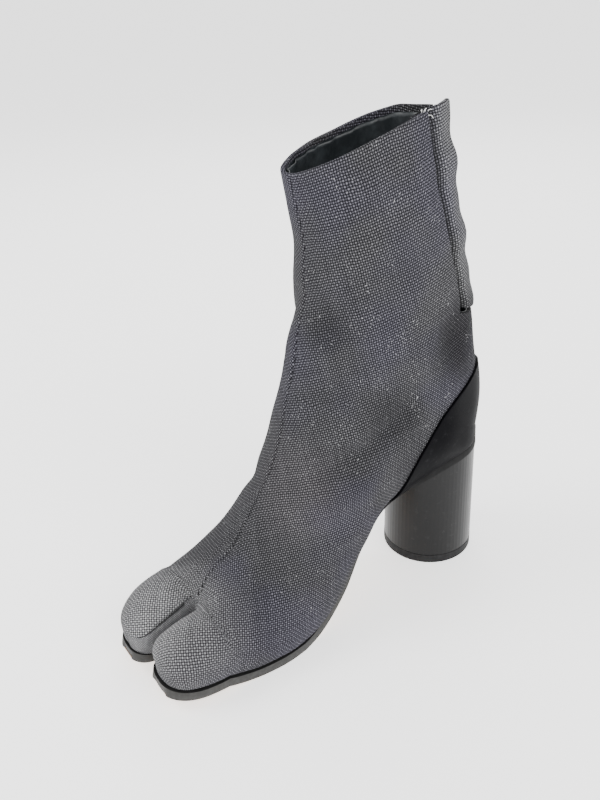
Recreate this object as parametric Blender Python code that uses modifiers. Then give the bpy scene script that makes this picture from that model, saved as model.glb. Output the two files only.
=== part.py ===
"""Split-toe canvas ankle boot with a tall round heel, right shoe.

World frame: toe towards -Y, heel towards +Y, medial side +X, up +Z, in metres.
Sizes below are in millimetres; y runs back from the toe, z up from the floor.
"""
import math

import bpy
import numpy as np

MM = 0.001

# Driving sizes
WALL = 2.4                 # canvas, interlining and lining together
GAP = 0.3                  # clearance between neighbouring pieces
SOLE = 4.6                 # outsole thickness
SOLE_PROUD = 1.4           # how far the outsole's edge stands out past the feather line
SOLE_DROP = 0.5            # the outsole's upper face below the feather line
WAIST_TUCK = 3.4           # how much less it does at the waist,
WAIST_FROM = 78.0          # between here
WAIST_TO = 172.0           # and here
INSOLE = 1.8
COUNTER = 1.3              # leather counter's thickness
HEEL_R_TOP = 25.6
HEEL_R_BASE = 26.3
HEEL_X = 2.3               # middle of the heel
HEEL_Y = 194.5
LIFT = 5.2                 # top lift's height
SPLIT_Y = 33.0             # how far back the toe split runs
SPLIT_X = 0.8              # front seam's place at the split, towards the medial side
SPLIT_GAP = 0.7            # between the lobes' walls where they press together
ORIGIN_X = -3.2            # middle of the outline in x
ORIGIN_Y = 110.95          # and in y
COLS = 18                  # facets from the feather line to the front seam, on each side

# Stations behind the split. fy, fz: crest of the front line; by, bz: feather line, then the back line;
# wl, wm: half widths at the widest; fl, fm: half widths at the feather line, lateral and medial;
# seam: x of the front seam; tilt: how much higher the medial side lies than the middle;
# edge: the medial panel's rear edge, in facets round from the back line;
# at: height of the widest line between the two; end: how far round the arch runs, in degrees;
# n: roundness of the arch (2 is an ellipse, more is squarer); steps: rows up to the next station
STATION_COLUMNS = ("name", "fy", "fz", "by", "bz", "wl", "wm", "fl", "fm", "seam", "tilt", "edge",
                   "at", "end", "n", "steps")
STATIONS = (
    ("wall",     33.8,  41.4,  33.8,   9.0, 38.2, 35.2, 36.6, 33.0,  0.6, 0.0, 6.0, .25, 156, 2.15, 1),
    ("crotch",   35.0,  41.7,  35.0,   8.5, 38.6, 35.3, 37.0, 33.0,  0.2, 0.0, 6.0, .25, 134, 2.15, 1),
    ("valley",   37.6,  42.3,  38.0,   7.4, 39.3, 35.4, 37.7, 33.0, -0.6, 0.0, 6.0, .25, 116, 2.15, 1),
    ("toes",     43.0,  43.8,  45.5,   5.6, 41.6, 35.8, 39.6, 33.4, -2.0, 0.0, 6.0, .26, 103, 2.15, 1),
    ("joints",   50.4,  46.4,  56.0,   5.1, 43.6, 36.8, 41.0, 34.6, -3.2, 0.0, 6.0, .26,  94, 2.2, 1),
    ("ball",     58.8,  51.0,  69.5,   5.1, 44.8, 37.6, 41.4, 34.8, -3.8, 0.0, 6.0, .27,  90, 2.2, 2),
    ("tread",    67.6,  60.8,  89.5,   6.2, 43.6, 36.4, 38.4, 31.4, -3.6, 0.0, 6.0, .29,  90, 2.1, 2),
    ("waist",    76.2,  74.6, 110.0,  17.5, 41.0, 34.2, 32.8, 26.0, -2.6, 0.0, 6.0, .32,  90, 2.0, 2),
    ("instep",   84.6,  90.2, 127.5,  36.0, 37.6, 33.8, 27.0, 20.0, -0.8, 0.0, 6.0, .37,  90, 1.95, 2),
    ("arch",     90.6, 106.8, 145.0,  56.0, 35.2, 34.4, 24.4, 19.4,  1.0, 0.0, 6.0, .41,  90, 1.95, 2),
    ("breast",   94.6, 121.6, 168.0,  69.0, 34.8, 35.4, 24.4, 25.4,  2.0, 0.0, 6.0, .42,  90, 2.0, 2),
    ("seat",     97.4, 134.0, 193.0,  75.4, 35.0, 36.4, 23.8, 28.4,  2.3, 0.0, 6.0, .43,  90, 2.0, 1),
    ("heel",     99.2, 140.4, 206.0,  77.2, 35.0, 36.4, 20.2, 24.8,  2.3, 0.0, 6.0, .45,  90, 2.0, 1),
    ("round",   100.8, 145.6, 215.5,  78.0, 35.0, 36.3, 10.7, 15.3,  2.3, 0.0, 6.0, .47,  90, 2.0, 1),
    ("rear",    101.8, 148.2, 218.1,  78.2, 35.0, 36.2,  4.4,  9.0,  2.3, 0.0, 6.0, .48,  90, 2.0, 1),
    ("back",    102.6, 150.4, 219.0,  78.3, 35.0, 36.2,  0.0,  0.0,  2.3, 0.0, 6.0, .49,  90, 2.0, 2),
    ("bulge",   104.4, 159.4, 220.4,  99.3, 34.8, 36.6,  0.0,  0.0,  2.2, 0.0, 6.0, .50,  90, 2.0, 2),
    ("counter", 105.8, 169.2, 215.8, 125.5, 34.8, 37.0,  0.0,  0.0,  2.0, 0.0, 5.6, .50,  90, 2.0, 3),
    ("ankle",   108.6, 184.2, 211.0, 154.0, 35.2, 36.6,  0.0,  0.0,  1.4, 0.0, 4.8, .50,  90, 2.0, 3),
    ("shaft",   112.0, 203.6, 202.8, 191.0, 35.2, 34.4,  0.0,  0.0,  0.6, 1.5, 5.4, .50,  90, 2.0, 3),
    ("cuff",    110.2, 221.4, 195.4, 229.0, 34.2, 31.8,  0.0,  0.0, -0.8, 4.5, 6.0, .50,  90, 2.0, 3),
    ("collar",  107.4, 238.0, 191.6, 261.0, 31.6, 28.8,  0.0,  0.0, -1.6, 7.0, 6.2, .50,  90, 2.0, 0),
)

# The two lobes of the toe. tip_x, tip_y: the foremost point; outer, inner: over what length each side
# rounds off to the tip; outer_in: how far the outer side draws in towards the front
LOBE_COLUMNS = ("side", "tip_x", "tip_y", "outer", "inner", "top", "outer_in")
LOBES = (
    ("lateral", -12.5, 0.6, 31.0, 12.0, 19.0, 2.6),
    ("medial",   17.5, 4.0, 21.0, 11.0, 18.0, 1.0),
)
LOBE_ROWS = 12
SPLIT_END = 198.0           # how far round a lobe's arch runs, down its inner wall, in degrees
WALL_END = 156.0            # the same at the first station behind the split
KEEP_TO = 120.0             # there the facets stay as on the lobes up to this angle,
KEEP_FALL = 2.5             # and this much less for each degree that the arch is shorter
LOBE_ROUND = 2.5            # superellipse power of the lobes' plan and profile
LOBE_SLOPE = 0.30           # rise of the lobes' crest from front to back
TOE_SPRING = 5.5            # how much higher the sole's line is at the toe tip than at the split
SIDES = {"lateral": -1.0, "medial": 1.0}

# Placket at the medial rear
PLACKET_COL = 6             # facets between the back seam and the medial panel's rear edge
PLACKET_FOOT = "ankle"      # station at which the placket's opening starts
UNDERLAP_COLS = 1           # facets of the strip that lie under the panel

INSOLE_INSET = 4.0
INSOLE_SLOT = 40.0          # how far back the insole is split
INSOLE_FIRST = 4            # first lobe section that the insole reaches
SOLE_COLS = 4
HEEL_SEAT_R = 26.0          # round of the feather line at the heel
HEEL_SEAT_Y = 193.0
HEEL_FACETS = 64
COUNTER_COLS = 14
COUNTER_LIFT = 0.8          # clears the facets of the upper as well as its surface
COUNTER_FOOT = 0.05         # where the counter starts above the feather line, as a share of the arc
COUNTER_RISE = 0.004        # and at the back line
COUNTER_MARGIN = 2.5        # the counter's corners stop this far inside its edge

# Heel counter's front edge, an arc seen from the side
COUNTER_ARC_Y = 216.0
COUNTER_ARC_Z = 56.0
COUNTER_ARC_R = 70.5


def smooth_rows():
    """Rows between the stations, on a smooth curve through each column of the table."""
    columns = STATION_COLUMNS[1:-1]
    table = [dict(zip(STATION_COLUMNS, line)) for line in STATIONS]
    rows = []
    starts = {}
    for i, station in enumerate(table):
        starts[station["name"]] = len(rows)
        before = table[max(i - 1, 0)]
        after = table[min(i + 1, len(table) - 1)]
        beyond = table[min(i + 2, len(table) - 1)]
        for step in range(max(station["steps"], 1)):
            t = step / max(station["steps"], 1)
            row = {}
            for c in columns:
                p0, p1, p2, p3 = before[c], station[c], after[c], beyond[c]
                row[c] = 0.5 * (2 * p1 + (p2 - p0) * t + (2 * p0 - 5 * p1 + 4 * p2 - p3) * t ** 2
                                + (3 * p1 - p0 - 3 * p2 + p3) * t ** 3)
            row["bz"] = max(row["bz"], SOLE + SOLE_DROP)
            rows.append(row)
    return rows, starts


def mix_rows(rows, place):
    """The row at a place between two rows, such as 30.4."""
    i = min(int(place), len(rows) - 2)
    t = place - i
    return {c: rows[i][c] * (1 - t) + rows[i + 1][c] * t for c in rows[i]}


def rounding(distance, length):
    """From 0 at the tip to 1 where the round of a lobe ends."""
    t = min(distance / length, 1.0)
    return (1 - (1 - t) ** LOBE_ROUND) ** (1 / LOBE_ROUND)


def arc_of_row(row, side):
    """What section_point needs for a row behind the split."""
    s = SIDES[side]
    wide, foot = (row["wl"], row["fl"]) if side == "lateral" else (row["wm"], row["fm"])
    foot_x = s * foot if foot > 0.5 else row["seam"]
    return {"side": s, "outer": s * wide, "foot": foot_x, "inner": row["seam"], "tilt": row["tilt"],
            "edge": row["edge"] / COLS if side == "medial" else PLACKET_COL / COLS,
            "end": row["end"], "n": row["n"], "at": row["at"],
            "front": (row["fy"], row["fz"]), "back": (row["by"], row["bz"])}


def arc_of_lobe(lobe, t, split_row):
    """What section_point needs for a section of a lobe, with t from 0 at its tip to 1 at the split."""
    s = SIDES[lobe["side"]]
    ahead = 1 - math.cos(math.pi / 2 * (0.06 + 0.94 * t))
    y = lobe["tip_y"] + (SPLIT_Y - lobe["tip_y"]) * ahead
    forward = (SPLIT_Y - y) / SPLIT_Y
    wide = split_row["wl"] if s < 0 else split_row["wm"]
    outer_line = s * (wide - lobe["outer_in"] * forward ** 2)
    inner_line = SPLIT_X + s * (SPLIT_GAP / 2 + 0.8 * forward)
    outer_round = rounding(y - lobe["tip_y"], lobe["outer"])
    inner_round = rounding(y - lobe["tip_y"], lobe["inner"])
    outer = lobe["tip_x"] + (outer_line - lobe["tip_x"]) * outer_round
    inner = lobe["tip_x"] + (inner_line - lobe["tip_x"]) * inner_round
    base = split_row["bz"] + TOE_SPRING * forward ** 1.6
    crest = split_row["fz"] - LOBE_SLOPE * (SPLIT_Y - y)
    wide_z = base + split_row["at"] * (split_row["fz"] - split_row["bz"])
    top = wide_z + (crest - wide_z) * rounding(y - lobe["tip_y"], lobe["top"])
    return {"side": s, "outer": outer, "foot": outer - s * 2.0 * outer_round, "inner": inner,
            "tilt": 0.0, "edge": PLACKET_COL / COLS, "end": SPLIT_END, "n": split_row["n"],
            "at": (wide_z - base) / (top - base),
            "front": (y, top), "back": (y, base)}


def section_point(arc, t):
    """A point of the upper's outer surface: t runs from the feather line, or the back line, at 0
    over the side to the front seam, or down the inner wall of a lobe, at 1."""
    s, n = arc["side"], arc["n"]
    edge = PLACKET_COL / COLS
    if t < edge:
        t = t * arc["edge"] / edge
    else:
        t = 1 - (1 - t) * (1 - arc["edge"]) / (1 - edge)
    end = math.radians(arc["end"])
    past = abs(math.cos(min(end, math.pi))) ** (2 / n) if end > math.pi / 2 else 0.0
    w = abs(arc["outer"] - arc["inner"]) / (1 + past)
    middle = arc["inner"] + s * w * past
    low = math.acos(min(max(abs(arc["foot"] - middle) / w, 0.0), 1.0) ** (n / 2))
    split_end = math.radians(SPLIT_END)
    keep = max(math.radians(KEEP_TO - KEEP_FALL * (WALL_END - arc["end"])), -low)
    phi = -low + (split_end + low) * t
    if phi > keep:
        phi = keep + (phi - keep) * (end - keep) / (split_end - keep)
    c, h = math.cos(phi), math.sin(phi)
    x = middle + s * w * math.copysign(abs(c) ** (2 / n), c)
    if h >= 0:
        rise = arc["at"] + (1 - arc["at"]) * h ** (2 / n)
    else:
        lowest = math.sin(low) if c > 0 or end <= math.pi else abs(math.sin(end))
        rise = arc["at"] * (1 - abs(h) / lowest)
    (fy, fz), (by, bz) = arc["front"], arc["back"]
    z = bz + (fz - bz) * rise + arc["tilt"] * x / 35.0
    return (x, by + (fy - by) * rise, z)


def upper_arcs(rows):
    """Every section of the upper, lateral and medial, lobes first, and how many belong to the lobes."""
    lobes = {line[0]: dict(zip(LOBE_COLUMNS, line)) for line in LOBES}
    arcs = {}
    for side in SIDES:
        front = [arc_of_lobe(lobes[side], i / (LOBE_ROWS - 1), rows[0]) for i in range(LOBE_ROWS)]
        arcs[side] = front + [arc_of_row(row, side) for row in rows]
    return arcs


def split_mesh(lines, ring_from=None, slit_from=None, slit_cols=0, lobes=LOBE_ROWS, caps=False):
    """Vertices and faces of a surface given by its lateral and medial lines of points.

    Before row 'lobes' the two sides are apart; behind it they share their last point, on the seam.
    From row 'ring_from' on they share their first point too, on the back line. From row 'slit_from'
    on, the medial side's first slit_cols facets are left open."""
    verts = []
    index = {}
    count = len(lines["lateral"])
    last = len(lines["lateral"][0]) - 1
    for side in ("lateral", "medial"):
        for i in range(count):
            for k in range(last + 1):
                shared = side == "medial" and ((k == last and i >= lobes)
                                               or (k == 0 and ring_from is not None and i >= ring_from))
                if shared:
                    index[side, i, k] = index["lateral", i, k]
                    continue
                if side == "medial" and slit_from is not None and i > slit_from and k < slit_cols:
                    continue
                index[side, i, k] = len(verts)
                verts.append(lines[side][i][k])
    faces = []
    for side in ("lateral", "medial"):
        for i in range(count - 1):
            for k in range(last):
                if side == "medial" and slit_from is not None and i >= slit_from and k < slit_cols:
                    continue
                quad = [index[side, i, k], index[side, i, k + 1],
                        index[side, i + 1, k + 1], index[side, i + 1, k]]
                faces.append(quad if side == "lateral" else quad[::-1])
        if caps:
            for k in range(last // 2):
                rung = [index[side, 0, k], index[side, 0, last - k],
                        index[side, 0, last - k - 1], index[side, 0, k + 1]]
                rung = list(dict.fromkeys(rung))
                faces.append(rung if side == "lateral" else rung[::-1])
    if lobes:
        faces.append([index["lateral", lobes - 1, last], index["medial", lobes - 1, last],
                      index["lateral", lobes, last]])
    return verts, faces


def sheet_mesh(lines):
    """Vertices and faces of a plain grid of points."""
    cols = len(lines[0])
    verts = [p for line in lines for p in line]
    faces = []
    for i in range(len(lines) - 1):
        for k in range(cols - 1):
            a = i * cols + k
            faces.append([a, a + cols, a + cols + 1, a + 1])
    return verts, faces


def grid_normals(lines):
    """Outward normals at the points of a medial grid, from its rows and columns."""
    p = np.array(lines, dtype=float)
    along = np.gradient(p, axis=0)
    across = np.gradient(p, axis=1)
    n = np.cross(along, across)
    return n / np.linalg.norm(n, axis=2, keepdims=True)


def new_object(name, collection, verts, faces, smooth=True):
    """A named object from points in millimetres, moved to the origin of the world frame."""
    mesh = bpy.data.meshes.new(name)
    placed = [((x - ORIGIN_X) * MM, (y - ORIGIN_Y) * MM, z * MM) for x, y, z in verts]
    mesh.from_pydata(placed, [], faces)
    if smooth:
        mesh.shade_smooth()
    obj = bpy.data.objects.new(name, mesh)
    collection.objects.link(obj)
    return obj


def thicken(obj, thickness, outward=False):
    """Give a surface its wall with a Solidify modifier."""
    solid = obj.modifiers.new("wall", "SOLIDIFY")
    solid.thickness = thickness * MM
    solid.offset = 1.0 if outward else -1.0
    solid.use_even_offset = False
    solid.use_rim = True


def finish(obj, color, roughness, metallic=0.0):
    """One plain material for the piece."""
    mat = bpy.data.materials.new(obj.name)
    mat.use_nodes = True
    shader = mat.node_tree.nodes["Principled BSDF"]
    shader.inputs["Base Color"].default_value = (*color, 1.0)
    shader.inputs["Roughness"].default_value = roughness
    shader.inputs["Metallic"].default_value = metallic
    obj.data.materials.append(mat)


def make_upper(collection, arcs, starts):
    """Hollow canvas body: open at the collar, along the placket and under the foot."""
    lines = {side: [[section_point(arc, k / COLS) for k in range(COLS + 1)] for arc in arcs[side]]
             for side in SIDES}
    verts, faces = split_mesh(lines, ring_from=LOBE_ROWS + starts["back"],
                              slit_from=LOBE_ROWS + starts[PLACKET_FOOT], slit_cols=PLACKET_COL, caps=True)
    upper = new_object("upper", collection, verts, faces)
    thicken(upper, WALL)
    finish(upper, (0.075, 0.078, 0.088), 0.9)


def make_placket_strip(collection, rows, starts):
    """Rear strip: level with the upper behind, then stepped in to pass under the medial panel's edge."""
    depth = WALL + 0.6
    profile = ((0.17, 0.0), (1.0, 0.0), (2.0, 0.0), (3.0, 0.0), (4.0, 0.0), (4.8, 0.5),
               (5.4, depth), (6.2, depth), (PLACKET_COL + UNDERLAP_COLS, depth))
    first = starts[PLACKET_FOOT] + 0.1
    places = [first] + list(range(starts[PLACKET_FOOT] + 1, len(rows)))
    grid = []
    for place in places:
        arc = arc_of_row(mix_rows(rows, place), "medial")
        grid.append([section_point(arc, col / COLS) for col, _ in profile])
    points = np.array(grid)
    inset = np.array([step for _, step in profile])
    points = points + grid_normals(grid) * -inset[None, :, None]
    verts, faces = sheet_mesh([[tuple(p) for p in line] for line in points])
    strip = new_object("placket_strip", collection, verts, faces)
    thicken(strip, WALL - 0.4)
    finish(strip, (0.06, 0.062, 0.07), 0.9)


def past_counter_edge(point):
    """How far a point lies behind the counter's front edge, seen from the side."""
    return COUNTER_ARC_R - math.hypot(point[1] - COUNTER_ARC_Y, point[2] - COUNTER_ARC_Z)


def counter_reach(arc, start):
    """Where along a section the counter ends, by halving."""
    low, high = start, 0.9
    for _ in range(30):
        middle = (low + high) / 2
        if past_counter_edge(section_point(arc, middle)) > 0:
            low = middle
        else:
            high = middle
    return low


def make_counter(collection, rows, starts):
    """Leather counter: a layer over the heel of the upper, open below."""
    edge = [i for i, row in enumerate(rows)
            if past_counter_edge((0.0, row["by"], row["bz"])) > COUNTER_MARGIN]
    ring_from = starts["back"] - edge[0]
    lines = {}
    for side in SIDES:
        grid = []
        for i in edge:
            arc = arc_of_row(rows[i], side)
            start = COUNTER_FOOT * min(rows[i]["fl"] / HEEL_SEAT_R, 1.0) + COUNTER_RISE
            reach = counter_reach(arc, start)
            grid.append([section_point(arc, start + (reach - start) * k / COUNTER_COLS)
                         for k in range(COUNTER_COLS + 1)])
        lines[side] = grid
    verts, faces = counter_mesh(lines, ring_from)
    counter = new_object("heel_counter", collection, verts, faces)
    lift = counter.modifiers.new("clear of the upper", "DISPLACE")
    lift.strength = COUNTER_LIFT * MM
    lift.mid_level = 0.0
    thicken(counter, COUNTER, outward=True)
    finish(counter, (0.018, 0.018, 0.02), 0.35)


def counter_mesh(lines, ring_from):
    """Two side grids that share their first points from row 'ring_from' on."""
    verts = []
    faces = []
    index = {}
    for side in ("lateral", "medial"):
        for i, line in enumerate(lines[side]):
            for k, point in enumerate(line):
                if side == "medial" and k == 0 and i >= ring_from:
                    index[side, i, k] = index["lateral", i, k]
                    continue
                index[side, i, k] = len(verts)
                verts.append(point)
    for side in ("lateral", "medial"):
        for i in range(len(lines[side]) - 1):
            for k in range(len(lines[side][0]) - 1):
                quad = [index[side, i, k], index[side, i, k + 1],
                        index[side, i + 1, k + 1], index[side, i + 1, k]]
                faces.append(quad if side == "lateral" else quad[::-1])
    return verts, faces


def waist(y):
    """From 0 under the ball and the heel to 1 in the middle of the waist."""
    t = min(max((y - WAIST_FROM) / (WAIST_TO - WAIST_FROM), 0.0), 1.0)
    return math.sin(math.pi * t) ** 0.7


def sole_surface(arcs, proud, inner_proud, tuck=0.0, first=0, slot=0.0):
    """Lines of points over the sole, from its outer edge to the split or the middle.

    proud moves the outer edge past the feather line, less tuck at the waist, and inner_proud the
    edge along the split, which runs on back to slot."""
    lines = {}
    for side, s in SIDES.items():
        chosen = [arc for arc in arcs[side][first:] if abs(arc["foot"] - arc["inner"]) > 0.5]
        outer = np.array([section_point(arc, 0.0) for arc in chosen])
        along = np.gradient(outer[:, :2], axis=0)
        normal = np.stack([s * along[:, 1], -s * along[:, 0]], axis=1)
        out = np.array([proud - tuck * waist(y) for y in outer[:, 1]])[:, None]
        outer[:, :2] += normal / np.linalg.norm(normal, axis=1, keepdims=True) * out
        line_y = [arc["back"][0] for arc in chosen]
        line_z = [arc["back"][1] for arc in chosen]
        outer[:, 2] = np.interp(outer[:, 1], line_y, line_z)
        grid = []
        for arc, edge in zip(chosen, outer):
            if arc["end"] > 180.0:
                inner = np.array(section_point(arc, 1.0))
                inner = np.array([inner[0] - s * inner_proud, edge[1], edge[2]])
            else:
                apart = -inner_proud if arc["back"][0] < slot else 0.0
                inner = np.array([arc["inner"] + s * apart, edge[1], edge[2]])
            line = [edge + (inner - edge) * k / SOLE_COLS for k in range(SOLE_COLS + 1)]
            grid.append([tuple(p) for p in line])
        reach = HEEL_SEAT_R + proud
        grid[-1] = [(x, HEEL_SEAT_Y + math.sqrt(reach ** 2 - (x - HEEL_X) ** 2), z) for x, _, z in grid[-1]]
        lines[side] = grid
    return lines


def lowered(lines, drop):
    """The same lines, moved down."""
    return {side: [[(x, y, z - drop) for x, y, z in line] for line in grid] for side, grid in lines.items()}


def make_outsole(collection, arcs):
    """Thin sole, split between the lobes, with toe spring, arch and heel seat."""
    lines = lowered(sole_surface(arcs, SOLE_PROUD, 0.5, tuck=WAIST_TUCK), SOLE_DROP)
    verts, faces = split_mesh(lines)
    outsole = new_object("outsole", collection, verts, faces, smooth=False)
    thicken(outsole, SOLE)
    finish(outsole, (0.035, 0.036, 0.04), 0.6)


def make_insole(collection, arcs):
    """Inner sole inside the upper's lower edge."""
    lines = sole_surface(arcs, -INSOLE_INSET, -INSOLE_INSET, first=INSOLE_FIRST, slot=INSOLE_SLOT)
    behind = sum(1 for arc in arcs["medial"][LOBE_ROWS:] if arc["back"][0] < INSOLE_SLOT)
    verts, faces = split_mesh(lines, lobes=LOBE_ROWS - INSOLE_FIRST + behind)
    insole = new_object("insole", collection, verts, faces, smooth=False)
    thicken(insole, INSOLE, outward=True)
    finish(insole, (0.05, 0.07, 0.08), 0.8)


def sole_underside(rows, y):
    """Height of the outsole's lower face at y."""
    feather = [row for row in rows if row["fl"] > 0.5]
    ys = [row["by"] for row in feather]
    zs = [row["bz"] for row in feather]
    slope = (np.interp(y + 1.0, ys, zs) - np.interp(y - 1.0, ys, zs)) / 2.0
    return float(np.interp(y, ys, zs)) - SOLE_DROP - SOLE * math.hypot(1.0, slope)


def make_heel(collection, rows):
    """Round heel block, its top cut to the sole's slope."""
    base = []
    top = []
    for k in range(HEEL_FACETS):
        turn = 2 * math.pi * k / HEEL_FACETS
        x, y = math.cos(turn), math.sin(turn)
        base.append((HEEL_X + x * HEEL_R_BASE, HEEL_Y + y * HEEL_R_BASE, LIFT + GAP))
        place = HEEL_Y + y * HEEL_R_TOP
        top.append((HEEL_X + x * HEEL_R_TOP, place, sole_underside(rows, place) - GAP))
    n = HEEL_FACETS
    faces = [list(range(n))[::-1]]
    faces += [[k, (k + 1) % n, n + (k + 1) % n, n + k] for k in range(n)]
    quarter = n // 4
    for k in range(-quarter, quarter):
        left = [n + (n // 2 - k) % n, n + (n // 2 - k - 1) % n]
        rung = [n + k % n, n + (k + 1) % n, left[1], left[0]]
        faces.append(list(dict.fromkeys(rung)))
    heel = new_object("heel", collection, base + top, faces)
    heel.data.set_sharp_from_angle(angle=math.radians(40))
    finish(heel, (0.012, 0.012, 0.013), 0.22)


def make_top_lift(collection):
    """Wearing piece under the heel."""
    bpy.ops.mesh.primitive_cylinder_add(
        vertices=HEEL_FACETS, radius=(HEEL_R_BASE + 0.1) * MM, depth=LIFT * MM,
        location=((HEEL_X - ORIGIN_X) * MM, (HEEL_Y - ORIGIN_Y) * MM, LIFT / 2 * MM))
    lift = bpy.context.object
    lift.name = "top_lift"
    lift.data.name = "top_lift"
    lift.data.shade_smooth()
    lift.data.set_sharp_from_angle(angle=math.radians(40))
    for old in list(lift.users_collection):
        old.objects.unlink(lift)
    collection.objects.link(lift)
    finish(lift, (0.03, 0.03, 0.032), 0.55)


def main():
    for obj in list(bpy.data.objects):
        bpy.data.objects.remove(obj, do_unlink=True)
    parts = bpy.data.collections.new("split_toe_boot")
    bpy.context.scene.collection.children.link(parts)
    rows, starts = smooth_rows()
    arcs = upper_arcs(rows)
    make_outsole(parts, arcs)
    make_insole(parts, arcs)
    make_upper(parts, arcs, starts)
    make_placket_strip(parts, rows, starts)
    make_counter(parts, rows, starts)
    make_heel(parts, rows)
    make_top_lift(parts)


main()
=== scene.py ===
"""Looks of the split-toe canvas ankle boot: woven canvas, lining, leather, heel, floor and light.

Sizes are in millimetres in the boot's own measure: x towards the medial side, y back from the toe,
z up from the floor. They become metres in the frame of the CAD nodes when a piece is made.
"""

import math

import bpy
import numpy as np
from mathutils import Matrix, Vector


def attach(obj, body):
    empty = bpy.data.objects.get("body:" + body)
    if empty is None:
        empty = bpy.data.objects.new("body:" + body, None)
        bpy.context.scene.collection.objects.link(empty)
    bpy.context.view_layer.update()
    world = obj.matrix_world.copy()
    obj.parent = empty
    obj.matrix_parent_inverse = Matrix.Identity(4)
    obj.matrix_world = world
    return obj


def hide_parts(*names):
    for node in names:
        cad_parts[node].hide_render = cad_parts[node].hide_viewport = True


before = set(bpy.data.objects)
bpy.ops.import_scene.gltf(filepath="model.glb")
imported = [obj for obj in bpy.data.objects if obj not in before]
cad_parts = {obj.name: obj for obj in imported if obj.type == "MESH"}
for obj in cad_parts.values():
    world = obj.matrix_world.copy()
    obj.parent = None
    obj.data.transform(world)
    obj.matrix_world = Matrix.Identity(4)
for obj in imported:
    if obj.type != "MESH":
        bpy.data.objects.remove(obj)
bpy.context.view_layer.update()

MM = 0.001
ORIGIN_X = -3.2
ORIGIN_Y = 110.95

# The last: the same sizes as the boot's solids
SPLIT_Y = 33.0
SPLIT_X = 0.8
SPLIT_GAP = 0.7
SPLIT_END = 198.0
WALL_END = 156.0
KEEP_TO = 120.0
KEEP_FALL = 2.5
LOBE_ROUND = 2.5
LOBE_SLOPE = 0.30
TOE_SPRING = 5.5
SOLE = 4.6
SOLE_DROP = 0.5
SOLE_PROUD = 1.4
WAIST_TUCK = 3.4
WAIST_FROM = 78.0
WAIST_TO = 172.0
HEEL_X = 2.3
HEEL_SEAT_R = 26.0
HEEL_SEAT_Y = 193.0
COLS = 18
PLACKET_COL = 6
COUNTER_ARC_Y = 216.0
COUNTER_ARC_Z = 56.0
COUNTER_ARC_R = 70.5
SIDES = {"lateral": -1.0, "medial": 1.0}

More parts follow.
